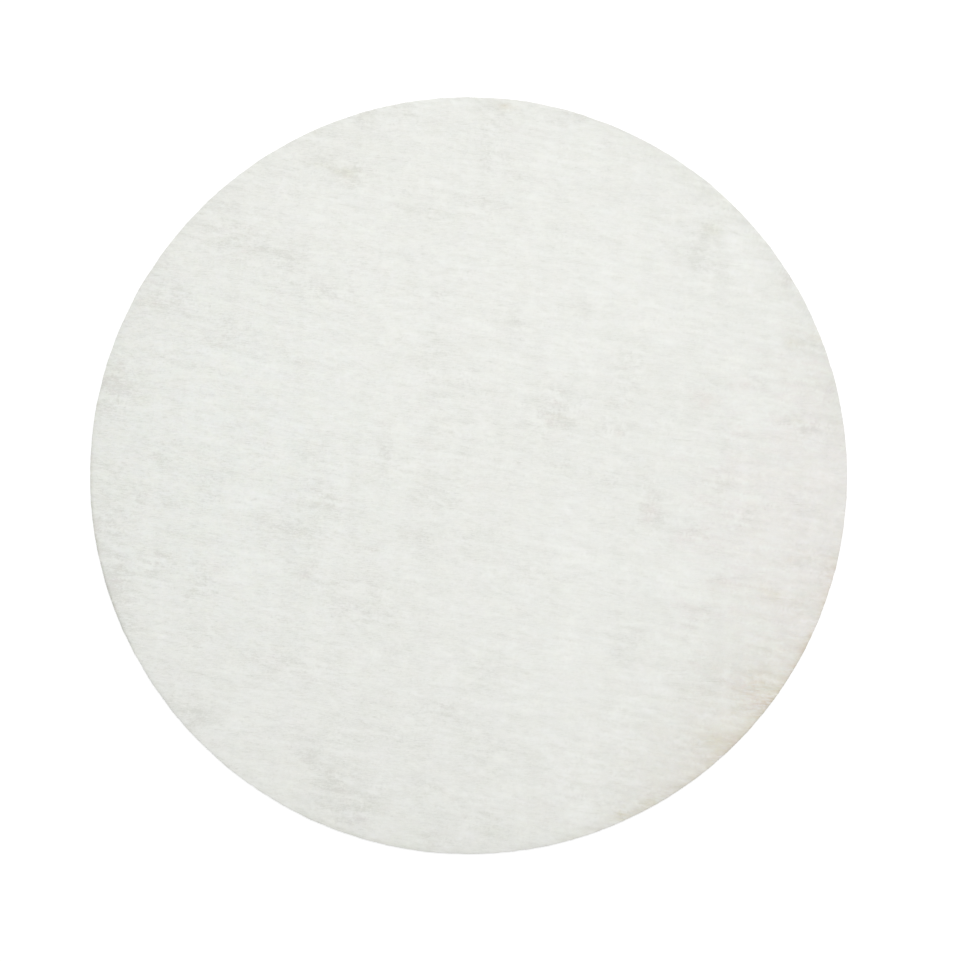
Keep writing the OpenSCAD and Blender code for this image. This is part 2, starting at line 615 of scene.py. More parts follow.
    Floc(1.6, -23.2, 2, 1.8, -3.4), Floc(18.6, -21.2, 2.2, 1.9, -5.6), Floc(7, -34.5, 3.2, 2, -2.2),
    Floc(27.5, -24, 4, 3.6, -2.8), Floc(27, -16, 5, 1.5, -2.5), Floc(18, -32.4, 3, 3, 2.2),
    Floc(4.4, -14.5, 3.4, 2.6, 3), Floc(33, -18.2, 3.6, 1.6, 2.2), Floc(19, -18, 2.4, 3, -2.2),
    Floc(20.4, -27.8, 4, 1.8, 2), Floc(2.5, -32.4, 4, 2.4, -1.4), Floc(29.6, -4.6, 2.2, 1.6, 2),
    Floc(15.8, -29.6, 2.8, 2, 2.2), Floc(30.8, -7, 2.2, 1.4, 1.4), Floc(32.4, -8.8, 2.2, 1.6, -2),
    Floc(1.2, -34.6, 2.8, 2, -2.4), Floc(1.2, -30.5, 2.4, 1.6, -2.6),
    Floc(30.7, -23.6, 2.2, 1.6, -2.4), Floc(3.9, -33.7, 2.2, 1.6, -2.2),
    Floc(5.7, -38.4, 3.2, 2.2, 1.8), Floc(18, -11.1, 3, 2.2, 1.8), Floc(26.8, -17.6, 3, 1.8, -1.8),
)


def cells_round(
    x: Points, y: Points, span: float, cells: int
) -> Iterator[tuple[Points, Points, Points]]:
    """Go through the four cells of a square map that lie round each position.

    Args:
        x: Positions along X.
        y: Positions along Y.
        span: How wide the map is.
        cells: How many cells it has each way.

    Yields:
        The row and column of a cell for each position, and the position's share in that cell.
    """
    column = (x / span + 0.5) * cells - 0.5
    row = (y / span + 0.5) * cells - 0.5
    left, low = np.floor(column).astype(int), np.floor(row).astype(int)
    across, up = column - left, row - low
    for right, share_x in ((0, 1 - across), (1, across)):
        for above, share_y in ((0, 1 - up), (1, up)):
            yield (low + above) % cells, (left + right) % cells, share_x * share_y


@dataclass(frozen=True)
class FeltMap:
    """A square map of how thick the fibres lie, in levels of shade about 0."""

    span: float
    values: Points

    def read(self, x: Points, y: Points) -> Points:
        """Read the map between its cells.

        Args:
            x: Positions along X.
            y: Positions along Y.

        Returns:
            The map's value at each position.
        """
        total = np.zeros_like(x)
        for row, column, share in cells_round(x, y, self.span, len(self.values)):
            total = total + self.values[row, column] * share
        return total


@dataclass(frozen=True)
class Felt:
    """The felted fibres, laid one by one in flocs along the grain.

    Its levels are how far the felt's shade strays, in display levels. The drift pulls the thick and
    thin spots out of shape.
    """

    grain: float = math.radians(-11)
    span: float = 96 * MM
    cell: float = 0.06 * MM
    step: float = 0.055 * MM
    bend: float = 0.12
    soft_along: float = 0.14 * MM
    soft_across: float = 0.07 * MM
    longest_cloud: float = 6 * MM
    levels: float = 1.8
    drift_mm: float = 0.3
    drift_soft: float = 0.5 * MM
    raggedness: float = 0.4
    ragged_range: tuple[float, float] = (0.2, 1.8)
    seed: int = 11
    stocks: tuple[Stock, ...] = (
        Stock(2600, 18, 0.7 * MM, 2.8 * MM, 1.1 * MM, 0.8 * MM, math.radians(15), 0.7),
        Stock(900, 16, 1.5 * MM, 6.0 * MM, 3.0 * MM, 1.8 * MM, math.radians(11), 0.5),
        Stock(2600, 2, 6.0 * MM, 14.0 * MM, 3.0 * MM, 0.12 * MM, math.radians(3), 0.65),
        Stock(2600, 10, 0.5 * MM, 1.8 * MM, 0.6 * MM, 0.6 * MM, math.radians(70), 1.0),
        Stock(14000, 1, 0.8 * MM, 4.0 * MM, 1.0 * MM, 1.0 * MM, math.radians(70), 0.7),
    )

    def lay(self, rng: np.random.Generator, stock: Stock) -> tuple[Points, Points]:
        """Lay one lot of fibres.

        Args:
            rng: The source of chance.
            stock: The lot.

        Returns:
            Positions along X and along Y of points spaced evenly along the fibres.
        """
        half = self.span / 2
        count = stock.flocs * stock.fibres_a_floc
        floc = np.repeat(rng.uniform(-half, half, (stock.flocs, 2)), stock.fibres_a_floc, axis=0)
        u, v = rng.normal(0, (stock.floc_long, stock.floc_wide), (count, 2)).T
        centre = floc + np.column_stack(along_grain(u, v, -self.grain))
        turn = self.grain + rng.normal(0, stock.angle_spread, count)
        length = rng.uniform(stock.shortest, stock.longest, count)
        bend = rng.normal(0, self.bend, count) / length
        pieces = np.maximum((length / self.step).astype(int), 2)
        owner = np.repeat(np.arange(count), pieces)
        place = np.arange(len(owner)) - np.repeat(np.cumsum(pieces) - pieces, pieces)
        along = (place / (pieces[owner] - 1) - 0.5) * length[owner]
        aside = bend[owner] * along**2
        cos, sin = np.cos(turn)[owner], np.sin(turn)[owner]
        x = centre[owner, 0] + along * cos - aside * sin
        y = centre[owner, 1] + along * sin + aside * cos
        return x, y

    def pile(self, x: Points, y: Points, cells: int) -> Points:
        """Count how thick the points lie over the map, and share each among its four cells.

        Args:
            x: Positions along X.
            y: Positions along Y.
            cells: How many cells the map has each way.

        Returns:
            The pile in each cell, by row and column.
        """
        heap = np.zeros(cells * cells)
        for row, column, share in cells_round(x, y, self.span, cells):
            heap += np.bincount(row * cells + column, weights=share, minlength=cells * cells)
        return heap.reshape(cells, cells)

    def blur(self, heap: Points, along: float, across: float, flatten: bool = False) -> Points:
        """Blur a map and bring its deviation back to 1.

        Args:
            heap: The map.
            along: How far the blur spreads along the grain.
            across: How far it spreads across the grain.
            flatten: Whether the map is pressed flat over spans past the longest cloud.

        Returns:
            The blurred map, with a mean of 0.
        """
        cells = len(heap)
        wave_x = np.fft.rfftfreq(cells, self.span / cells)[None, :]
        wave_y = np.fft.fftfreq(cells, self.span / cells)[:, None]
        u, v = along_grain(wave_x, wave_y, self.grain)
        # The share of each wave that is left.
        keep = np.exp(-2 * math.pi**2 * ((along * u) ** 2 + (across * v) ** 2))
        if flatten:
            size = np.hypot(wave_x, wave_y) * self.longest_cloud
            keep = keep * size**2 / (1 + size**2)
        soft = np.fft.irfft2(np.fft.rfft2(heap) * keep, s=heap.shape)
        return (soft - soft.mean()) / soft.std()

    def grow(self) -> FeltMap:
        """Lay every lot of fibres, sum them up and add the thick and thin spots.

        Returns:
            The map of the felt.
        """
        rng = np.random.default_rng(self.seed)
        cells = round(self.span / self.cell)
        heap = np.zeros((cells, cells))
        for stock in self.stocks:
            heap += stock.weight * self.pile(*self.lay(rng, stock), cells)
        web = self.blur(heap, self.soft_along, self.soft_across, flatten=True)
        spots = self.spots(web)
        ragged = np.clip(1 + self.raggedness * np.sign(spots) * web, *self.ragged_range)
        return FeltMap(self.span, self.levels * web + spots * ragged)

    def spots(self, web: Points) -> Points:
        """Map the thick and thin spots, each pulled out of its even shape.

        Args:
            web: The map of the fibres, which does the pulling where it is read elsewhere and blurred.

        Returns:
            The levels that the spots add in each cell.
        """
        cells = len(web)
        middle = ((np.arange(cells) + 0.5) / cells - 0.5) * self.span / MM
        pull, push = (
            self.drift_mm * self.blur(np.roll(web, cells // 3, axis), self.drift_soft, self.drift_soft)
            for axis in (0, 1)
        )
        total = np.zeros_like(web)
        for floc in FLOCS:
            reach = floc.reach_mm + 4 * self.drift_mm
            left, right = np.searchsorted(middle, (floc.x_mm - reach, floc.x_mm + reach))
            low, high = np.searchsorted(middle, (floc.y_mm - reach, floc.y_mm + reach))
            part = (slice(low, high), slice(left, right))
            x = middle[None, left:right] + pull[part]
            y = middle[low:high, None] + push[part]
            total[part] += floc.pile(x, y, self.grain)
        return total


class Tint(Enum):
    """The colour that a mark leaves where it is strongest, as a share of the light it gives back."""

    GREY = (0.920, 0.920, 0.908)
    OLIVE = (0.970, 0.970, 0.925)
    TAN = (0.962, 0.932, 0.904)
    ORANGE = (0.965, 0.930, 0.895)
    BROWN = (0.930, 0.895, 0.835)
    PINK = (0.995, 0.968, 0.970)

    def share_left(self, cover: Points) -> Points:
        """Give the share of red, green and blue that is left where the tint covers this much."""
        return 1 - np.outer(cover, 1 - np.array(self.value))


@dataclass(frozen=True)
class Mark:
    """One discoloured spot or dark floc: an ellipse with ragged edges, turned from the grain by degrees."""

    x_mm: float
    y_mm: float
    long_mm: float
    wide_mm: float
    strength: float
    tint: Tint
    turn: float = 0.0

    sharpness: ClassVar[float] = 1.5
    raggedness: ClassVar[float] = 0.3

    def cover(self, x: Points, y: Points, grain: float, ragged: Points) -> Points:
        """Say how strongly the mark shows.

        Args:
            x: Positions along X.
            y: Positions along Y.
            grain: The grain's angle from X.
            ragged: A number for each position that breaks up the edge.

        Returns:
            The share of the mark's tint at each position.
        """
        turned = grain + math.radians(self.turn)
        u, v = along_grain(x / MM - self.x_mm, y / MM - self.y_mm, turned)
        away = np.hypot(u / (self.long_mm / 2), v / (self.wide_mm / 2))
        soft = np.exp(-0.5 * (away * self.sharpness) ** 2)
        return self.strength * soft * np.clip(1 + self.raggedness * ragged, 0, 2)


@dataclass(frozen=True)
class RimStainAndShade:
    """A grey or brown band along a stretch of the rim. Brown, tan and orange bands are stains; grey bands
    are partly painted shade of the rolled cut edge and the rim zone, and partly dirt. Its azimuth and
    spread are in degrees.
    """

    azimuth: float
    spread: float
    reach_mm: float
    strength: float
    tint: Tint

    raggedness: ClassVar[float] = 0.15

    def cover(self, x: Points, y: Points, radius: float, ragged: Points) -> Points:
        """Say how strongly the band shows.

        Args:
            x: Positions along X.
            y: Positions along Y.
            radius: The sheet's radius.
            ragged: A number for each position that breaks up the band.

        Returns:
            The share of the band's tint at each position.
        """
        angle = np.degrees(np.arctan2(y, x)) - self.azimuth
        angle = (angle + 180) % 360 - 180
        inside = np.maximum(radius - np.hypot(x, y), 0) / MM
        shown = np.exp(-0.5 * (angle / self.spread) ** 2) * np.exp(-((inside / self.reach_mm) ** 2))
        return self.strength * shown * np.clip(1 + self.raggedness * ragged, 0, 2)


MARKS = (
    Mark(-14.6, 36.2, 3.4, 1.6, 0.6, Tint.OLIVE),
    Mark(4.4, 43.9, 2.6, 1.2, 0.55, Tint.BROWN),
    Mark(10.9, 7.0, 2.4, 1.2, 0.35, Tint.OLIVE),
    Mark(29.1, 29.3, 2.2, 1.6, 0.5, Tint.OLIVE),
    Mark(35.5, -26.9, 3.6, 2.8, 0.8, Tint.BROWN),
    Mark(33.6, -25.6, 4.2, 2.6, 0.6, Tint.TAN),
    Mark(34.4, -24.4, 3.4, 1.8, 0.4, Tint.BROWN),
    Mark(29.9, -32.0, 3.8, 2.8, 0.45, Tint.BROWN),
    Mark(28.4, -30.6, 3.0, 2.0, 0.2, Tint.TAN),
    Mark(36.7, -14.3, 2.4, 0.8, 0.45, Tint.ORANGE),
    Mark(36.4, -14.2, 5.6, 1.8, 0.45, Tint.OLIVE),
    Mark(42.9, -11.6, 2.0, 4.8, 0.55, Tint.ORANGE),
    Mark(40.4, -9.3, 4.0, 1.2, 0.35, Tint.ORANGE),
    Mark(38.2, -10.0, 1.6, 0.8, 0.5, Tint.ORANGE),
    Mark(41.6, 16.6, 2.4, 1.6, 0.5, Tint.ORANGE),
    Mark(40.5, 6.4, 3.0, 1.2, 0.6, Tint.PINK),
    Mark(17.8, 5.0, 1.4, 1.0, 0.7, Tint.PINK),
    Mark(28.0, 8.6, 3.0, 2.0, 0.7, Tint.PINK),
    Mark(27.2, -7.6, 4.4, 1.2, 0.8, Tint.PINK),
    Mark(21.5, -4.3, 2.0, 2.2, 0.7, Tint.PINK),
    Mark(30.5, -12.8, 5.0, 1.2, 0.6, Tint.PINK),
    Mark(18.1, -40.3, 1.5, 1.3, 0.9, Tint.BROWN),
    Mark(21.0, -38.9, 4.6, 1.6, 0.5, Tint.BROWN, 38.0),
    Mark(25.3, -36.6, 2.8, 1.3, 0.3, Tint.GREY, 45.0),
    Mark(-17.6, 37.0, 2.0, 1.0, 0.4, Tint.OLIVE),
    Mark(33.4, -26.6, 4.4, 4.6, 0.38, Tint.BROWN),
    Mark(35.0, -20.4, 5.4, 2.6, 0.4, Tint.GREY),
    Mark(39.0, -16.4, 4.0, 3.2, 0.4, Tint.GREY),
    Mark(38.4, -15.6, 3.4, 2.4, 0.3, Tint.OLIVE),
    Mark(38.6, 12.8, 6.4, 3.4, 0.45, Tint.PINK),
    Mark(32.4, 10.8, 4.0, 2.2, 0.5, Tint.PINK),
    Mark(38.6, 23.5, 3.0, 2.4, 0.6, Tint.PINK),
    Mark(38.6, 15.6, 2.2, 1.2, 0.6, Tint.BROWN),
    Mark(39.2, 6.7, 2.2, 1.2, 0.5, Tint.OLIVE),
)
# Bands along the rim. The brown, tan and orange ones are stains. The grey ones are painted shade at the cut
# edge and a few mm in from the rim, mixed with dirt.
RIM_STAINS_AND_SHADE = (
    RimStainAndShade(8.0, 24.0, 2.4, 0.35, Tint.GREY),
    RimStainAndShade(42.0, 20.0, 1.2, 0.75, Tint.GREY),
    RimStainAndShade(105.0, 28.0, 0.60, 0.40, Tint.GREY),
    RimStainAndShade(146.0, 14.0, 1.0, 0.35, Tint.GREY),
    RimStainAndShade(168.0, 10.0, 0.8, 0.50, Tint.GREY),
    RimStainAndShade(181.0, 8.0, 0.30, 1.15, Tint.GREY),
    RimStainAndShade(195.0, 9.0, 0.22, 2.45, Tint.GREY),
    RimStainAndShade(210.0, 9.0, 0.30, 0.80, Tint.GREY),
    RimStainAndShade(256.0, 9.0, 0.50, 0.85, Tint.GREY),
    RimStainAndShade(277.0, 16.0, 0.8, 0.20, Tint.GREY),
    RimStainAndShade(302.0, 9.0, 0.60, 0.42, Tint.BROWN),
    RimStainAndShade(300.0, 12.0, 2.20, 0.25, Tint.GREY),
    RimStainAndShade(337.0, 8.0, 0.70, 0.40, Tint.ORANGE),
    RimStainAndShade(318.0, 18.0, 0.15, 1.10, Tint.GREY),
    RimStainAndShade(320.0, 12.0, 0.85, 0.75, Tint.BROWN),
    RimStainAndShade(332.0, 8.0, 0.40, 0.48, Tint.BROWN),
    RimStainAndShade(318.0, 13.0, 6.0, 0.70, Tint.TAN),
    RimStainAndShade(320.0, 22.0, 11.0, 0.25, Tint.TAN),
    RimStainAndShade(318.0, 24.0, 10.0, 0.22, Tint.GREY),
    RimStainAndShade(0.0, 26.0, 9.0, 0.12, Tint.GREY),
    RimStainAndShade(155.0, 26.0, 8.0, 0.14, Tint.GREY),
    RimStainAndShade(250.0, 24.0, 7.0, 0.32, Tint.GREY),
)


# --- The sheet ------------------------------------------------------------------------------


@dataclass(frozen=True)
class CutSection:
    """The sheet's section at the rim: pressed by the die, rolled over, cut clean, then torn."""

    radius: float
    thickness: float
    press_width: float = 0.8 * MM
    press_drop: float = 0.06 * MM
    shoulder: float = 0.08 * MM
    tear_height: float = 0.08 * MM
    tear_in: float = 0.03 * MM
    press_rings: int = 5
    shoulder_rings: int = 4
    wall_rings: int = 3
    tear_rings: int = 2

    @property
    def bed(self) -> float:
        """The radius at which the press begins."""
        return self.radius - self.press_width

    @property
    def press_arc(self) -> float:
        """The radius of the arc that the press leaves."""
        return (self.press_width**2 + self.press_drop**2) / (2 * self.press_drop)

    def outline(self) -> Points:
        """List the section's rings from the flat face out and down to the underside.

        Returns:
            The radius and the height of each ring.
        """
        arc, roll = self.press_arc, self.shoulder
        turn = math.asin((self.press_width - roll) / (arc - roll))
        roll_z = self.thickness - arc + (arc - roll) * math.cos(turn)
        rings = []
        for k in range(self.press_rings + 1):
            lean = turn * math.sqrt(k / self.press_rings)
            rings.append((self.bed + arc * math.sin(lean), self.thickness + arc * (math.cos(lean) - 1)))
        for k in range(1, self.shoulder_rings + 1):
            lean = turn + (math.pi / 2 - turn) * k / self.shoulder_rings
            rings.append((self.radius - roll + roll * math.sin(lean), roll_z + roll * math.cos(lean)))
        for k in range(1, self.wall_rings + 1):
            rings.append((self.radius, roll_z + (self.tear_height - roll_z) * k / self.wall_rings))
        for k in range(1, self.tear_rings + 1):
            share = k / self.tear_rings
            rings.append((self.radius - self.tear_in * share**2, self.tear_height * (1 - share)))
        return np.array(rings)

    def top(self, out: Points) -> Points:
        """Give the height of the flat face and the press.

        Args:
            out: Distances from the middle.

        Returns:
            The height at each distance.
        """
        past = np.clip(out - self.bed, 0, self.press_width)
        return self.thickness + np.sqrt(self.press_arc**2 - past**2) - self.press_arc


@dataclass(frozen=True)
class Chart:
    """A round chart of the flat map that a face of the sheet is laid out on."""

    centre_u: float
    centre_v: float
    reach: float

    def place(self, share: Points, angle: Points) -> Points:
        """Place points by how far out they lie, from 0 to 1, and by their angle."""
        out = share * self.reach
        return np.column_stack([self.centre_u + out * np.cos(angle), self.centre_v + out * np.sin(angle)])


@dataclass
class FilterSheet:
    """The one round sheet of felted fibres, lying on its underside.

    The felt's relief falls to the share rim_relief at the rim. The cut draws in by the slip on the
    side that slip_at points to.
    """

    section: CutSection
    felt: Felt
    map: FeltMap
    finish: "PaperFinish"
    around: int = 1080
    top_grid: Scatter = Scatter(0.52 * MM, 0.18 * MM, 0.22, 0.12 * MM)
    under_grid: Scatter = Scatter(1.1 * MM, 0.9 * MM, 0.3, 0.4 * MM)
    relief: float = 0.0018 * MM
    rim_relief: float = 0.35
    cockle: float = 0.05 * MM
    cockle_waves: int = 5
    cockle_span: tuple[float, float] = (34 * MM, 80 * MM)
    cut_wander: float = 0.018 * MM
    cut_span: tuple[float, float] = (0.6 * MM, 5 * MM)
    tear_wander: float = 0.014 * MM
    tear_span: tuple[float, float] = (0.5 * MM, 1 * MM)
    slip: float = 0.05 * MM
    slip_at: float = math.radians(250)
    seed: int = 5
    top_chart: Chart = Chart(0.43, 0.43, 0.42)
    under_chart: Chart = Chart(0.84, 0.84, 0.155)

    def lift(self, x: Points, y: Points) -> Points:
        """Say how far the sheet stands off the surface it lies on, where it has gently cockled.

        Args:
            x: Positions along X.
            y: Positions along Y.

        Returns:
            A height from 0 to the cockle's.
        """
        rng = np.random.default_rng(self.seed + 1)
        total = np.zeros_like(x)
        for _ in range(self.cockle_waves):
            turn, phase = rng.uniform(0, FULL_TURN, 2)
            wave = rng.uniform(*self.cockle_span)
            total = total + np.sin(FULL_TURN * (x * math.cos(turn) + y * math.sin(turn)) / wave + phase)
        return self.cockle * 0.5 * (1 + total / self.cockle_waves)

    def face_height(self, x: Points, y: Points) -> Points:
        """Give the height of the top face with its felt and cockle.

        Args:
            x: Positions along X.
            y: Positions along Y.

        Returns:
            The height at each position.
        """
        out = np.hypot(x, y)
        fade = np.clip((self.section.radius - out) / self.section.press_width, 0, 1)
        relief = self.relief * self.map.read(x, y) * (self.rim_relief + (1 - self.rim_relief) * fade)
        return self.section.top(out) + relief + self.lift(x, y)

    def drawn_in(self, angle: Points) -> Points:
        """Say how far the cut draws in from a true circle at each angle round the rim."""
        return self.slip * np.maximum(np.cos(angle - self.slip_at), 0) ** 2

    def rim_points(self, rng: np.random.Generator) -> tuple[Points, Points]:
        """Place the rim's rings, with the small wander of a real cut.

        Args:
            rng: The source of chance.

        Returns:
            The rim's points by ring, and how far along the section each ring lies.
        """
        section = self.section
        outline = section.outline()
        angle = np.arange(self.around) * (FULL_TURN / self.around)
        length = FULL_TURN * section.radius
        cut = self.cut_wander * ripple(rng, length, self.around, self.cut_span) - self.drawn_in(angle)
        rings = []
        for radius, height in outline:
            share = (radius - section.bed) / section.press_width
            wander = cut * share**2
            torn = max(0.0, 1 - height / section.tear_height)
            if torn > 0:
                wander = wander + torn * self.tear_wander * ripple(rng, length, self.around, self.tear_span)
            x = (radius + wander) * np.cos(angle)
            y = (radius + wander) * np.sin(angle)
            on_top = height > section.thickness - section.press_drop - section.shoulder
            relief = self.relief * self.map.read(x, y) * (self.rim_relief if on_top else 0)
            rings.append(np.column_stack([x, y, height + relief + self.lift(x, y)]))
        steps = np.hypot(*np.diff(outline, axis=0).T)
        path = section.bed + np.concatenate([[0], np.cumsum(steps)])
        return np.array(rings), path

    def build(self) -> bpy.types.Object:
        """Build the sheet and dress it.

        Returns:
            The sheet.
        """
        rng = np.random.default_rng(self.seed)
        rings, path = self.rim_points(rng)
        section, grain, count = self.section, self.felt.grain, self.around
        top_inside = self.top_grid.scatter(rng, section.bed, grain)
        under_inside = self.under_grid.scatter(rng, section.radius - section.tear_in, grain)
        top_plan, top_faces = fill_circle(top_inside, rings[0, :, :2])
        under_plan, under_faces = fill_circle(under_inside, rings[-1, :, :2])

        rings[0, :, 2] = self.face_height(rings[0, :, 0], rings[0, :, 1])
        x, y = top_plan[count:].T
        top = np.column_stack([x, y, self.face_height(x, y)])
        x, y = under_plan[count:].T
        under = np.column_stack([x, y, self.lift(x, y)])
        points = np.vstack([rings.reshape(-1, 3), top, under])

        last = count * (len(rings) - 1)
        after_rings = last + count
        faces = self.joined(top_faces, 0, after_rings)
        faces += self.rim_faces(len(rings))
        lower = self.joined(under_faces, last, after_rings + len(top))
        faces += [face[::-1] for face in lower]

        piece = make_piece("filter_sheet", points, faces)
        self.unwrap(piece.data, path, len(lower))
        store(piece.data, FELT_ATTRIBUTE, self.map.read(points[:, 0], points[:, 1]))
        # Store the stains and the painted rim shade as one colour.
        store(piece.data, MARK_AND_SHADE_ATTRIBUTE, self.stains_and_rim_shade(points[:, 0], points[:, 1]))
        piece.data.materials.append(self.finish.material())
        return piece

    def joined(self, faces: list[list[int]], rim: int, inside: int) -> list[list[int]]:
        """Renumber the triangles of a filled rim for the whole sheet.

        Args:
            faces: The triangles, which count the rim's points first.
            rim: The sheet's number for the first point of that rim.
            inside: Its number for the first point inside.

        Returns:
            The triangles by the sheet's numbers.
        """
        count = self.around
        return [[p + rim if p < count else p - count + inside for p in face] for face in faces]

    def rim_faces(self, rings: int) -> list[list[int]]:
        """List the faces between the rings of the rim.

        Args:
            rings: How many rings there are.

        Returns:
            The points of each face.
        """
        faces = []
        for ring in range(rings - 1):
            high, low = ring * self.around, (ring + 1) * self.around
            for k in range(self.around):
                after = (k + 1) % self.around
                faces.append([high + k, low + k, low + after, high + after])
        return faces

    def unwrap(self, mesh: bpy.types.Mesh, path: Points, under_faces: int) -> None:
        """Lay the top face and rim flat as one disc, and the underside as a smaller one.

        Args:
            mesh: The sheet's mesh.
            path: How far along the section each ring lies.
            under_faces: How many faces the underside has. They come last.
        """
        points = np.empty(len(mesh.vertices) * 3)
        mesh.vertices.foreach_get("co", points)
        x, y = points.reshape(-1, 3)[:, 0], points.reshape(-1, 3)[:, 1]
        out, angle = np.hypot(x, y), np.arctan2(y, x)
        spread = out.copy()
        spread[: self.around * len(path)] = np.repeat(path, self.around)
        owners = np.empty(len(mesh.loops), dtype=np.int32)
        mesh.loops.foreach_get("vertex_index", owners)
        top, under = np.split(owners, [len(owners) - 3 * under_faces])
        face = self.top_chart.place(spread[top] / path[-1], angle[top])
        back = self.under_chart.place(out[under] / self.section.radius, angle[under])
        add_unwrap(mesh, np.vstack([face, back]))

    def stains_and_rim_shade(self, x: Points, y: Points) -> Points:
        """Work out what the marks and the rim bands, including the painted rim shade, leave of the light.

        Args:
            x: Positions along X.
            y: Positions along Y.

        Returns:
            The share of red, green and blue that is left at each position.
        """
        ragged = np.clip(-self.map.read(x, y) / self.felt.levels, -2, 2)
        colour = np.ones((len(x), 3))
        for mark in MARKS:
            colour *= mark.tint.share_left(mark.cover(x, y, self.felt.grain, ragged))
        # The rim bands: stains, plus grey painted shade at the cut edge and towards the rim.
        for rim_band in RIM_STAINS_AND_SHADE:
            colour *= rim_band.tint.share_left(rim_band.cover(x, y, self.section.radius, ragged))
        return colour


# --- Loose fibres ---------------------------------------------------------------------------


class Lie(Enum):
    """Where a lot of loose fibres lies."""

    ON_FACE = "on the top face"
    AT_CUT = "out of the cut edge"


@dataclass
class LooseFibres:
    """Fibres that have worked loose. Each is a thin closed strand of its own.

    On the face, the middle of a fibre lies rim_gap or more inside the rim and the rest rim_stop or
    more, and it stands off the felt by a share of its thickness. At the cut, a fibre is rooted a
    little inside, at least cut_foot over the underside and cut_head under the pressed edge.
    """

    name: str
    lie: Lie
    sheet: FilterSheet
    finish: "FibreFinish"
    count: int
    shortest: float
    longest: float
    spread: float
    seed: int
    rings: int = 5
    sides: int = 3
    thick: float = 0.016 * MM
    thick_range: tuple[float, float] = (0.7, 1.3)
    taper: float = 0.55
    curl: float = 0.12
    lift: float = 0.012 * MM
    stand: float = 0.2
    rim_gap: float = 0.3 * MM
    rim_stop: float = 0.06 * MM
    root: float = 0.02 * MM
    cut_foot: float = 0.04 * MM
    cut_head: float = 0.03 * MM
    tip_rise: float = 0.3

    def lines(self, rng: np.random.Generator) -> Points:
        """Place the middle line of each fibre.

        Args:
            rng: The source of chance.

        Returns:
            The points of each line, by fibre and ring.
        """
        section = self.sheet.section
        length = self.shortest * (self.longest / self.shortest) ** rng.uniform(0, 1, self.count)
        share = np.linspace(0, 1, self.rings)
        if self.lie is Lie.ON_FACE:
            out = (section.radius - self.rim_gap) * np.sqrt(rng.uniform(0, 1, self.count))
            angle = rng.uniform(0, FULL_TURN, self.count)
            heading = self.sheet.felt.grain + rng.normal(0, self.spread, self.count)
            start = share - 0.5
        else:
            angle = rng.uniform(0, FULL_TURN, self.count)
            out = section.radius - self.root - self.sheet.drawn_in(angle)
            heading = angle + rng.normal(0, self.spread, self.count)
            start = share
        along = np.outer(length, start)
        aside = np.outer(rng.normal(0, self.curl, self.count), (start - start.mean()) ** 2)
        aside = aside * length[:, None]
        cos, sin = np.cos(heading)[:, None], np.sin(heading)[:, None]
        x = (out * np.cos(angle))[:, None] + along * cos - aside * sin
        y = (out * np.sin(angle))[:, None] + along * sin + aside * cos
        if self.lie is Lie.ON_FACE:
            past = np.maximum(np.hypot(x, y) / (section.radius - self.rim_stop), 1)
            x, y = x / past, y / past
            arch = rng.uniform(0, 1, self.count)[:, None] ** 3 * np.sin(math.pi * share)[None, :]
            z = self.sheet.face_height(x, y) + self.thick * self.stand + self.lift * arch
        else:
            head = section.thickness - section.press_drop - self.cut_head
            level = rng.uniform(self.cut_foot, head, self.count)
            tip = rng.normal(0, self.tip_rise, self.count) * length
            z = (level + self.sheet.lift(x[:, 0], y[:, 0]))[:, None] + np.outer(tip, share**2)
            z = np.maximum(z, self.thick)
        return np.stack([x, y, z], axis=2)

    def build(self) -> bpy.types.Object:
        """Build the fibres as one piece and dress it.

        Returns:
            The piece.
        """
        rng = np.random.default_rng(self.seed)
        lines = self.lines(rng)
        forward = np.gradient(lines, axis=1)
        forward /= np.linalg.norm(forward, axis=2, keepdims=True)
        aside = np.cross(forward, (0.0, 0.0, 1.0))
        aside /= np.linalg.norm(aside, axis=2, keepdims=True)
        upward = np.cross(aside, forward)
        taper = 1 - self.taper * np.abs(np.linspace(-1, 1, self.rings)) ** 3
        half = (self.thick / 2) * rng.uniform(*self.thick_range, self.count)[:, None] * taper[None, :]
        corners = []
        for side in range(self.sides):
            turn = math.pi / 2 + FULL_TURN * side / self.sides
            reach = aside * math.cos(turn) + upward * math.sin(turn)
            corners.append(lines + reach * half[:, :, None])
        points = np.stack(corners, axis=2).reshape(-1, 3)
        piece = make_piece(self.name, points, self.skin())
        self.unwrap(piece.data)
        shade = np.repeat(rng.uniform(0, 1, self.count), self.rings * self.sides)
        store(piece.data, SHADE_ATTRIBUTE, shade)
        # Each fibre takes the stains and the painted rim shade of the sheet beneath it.
        store(piece.data, MARK_AND_SHADE_ATTRIBUTE, self.sheet.stains_and_rim_shade(points[:, 0], points[:, 1]))
        piece.data.materials.append(self.finish.material())
        return piece

    def skin(self) -> list[list[int]]:
        """List the faces of every strand: its sides first, then its two ends.

        Returns:
            The points of each face.
        """
        faces = []
        for fibre in range(self.count):
            base = fibre * self.rings * self.sides
            for ring in range(self.rings - 1):
                near, far = base + ring * self.sides, base + (ring + 1) * self.sides
                for side in range(self.sides):
                    after = (side + 1) % self.sides
                    faces.append([near + side, far + side, far + after, near + after])
            tip = base + (self.rings - 1) * self.sides
            faces.append([base + side for side in range(self.sides)])
            faces.append([tip + side for side in reversed(range(self.sides))])
        return faces

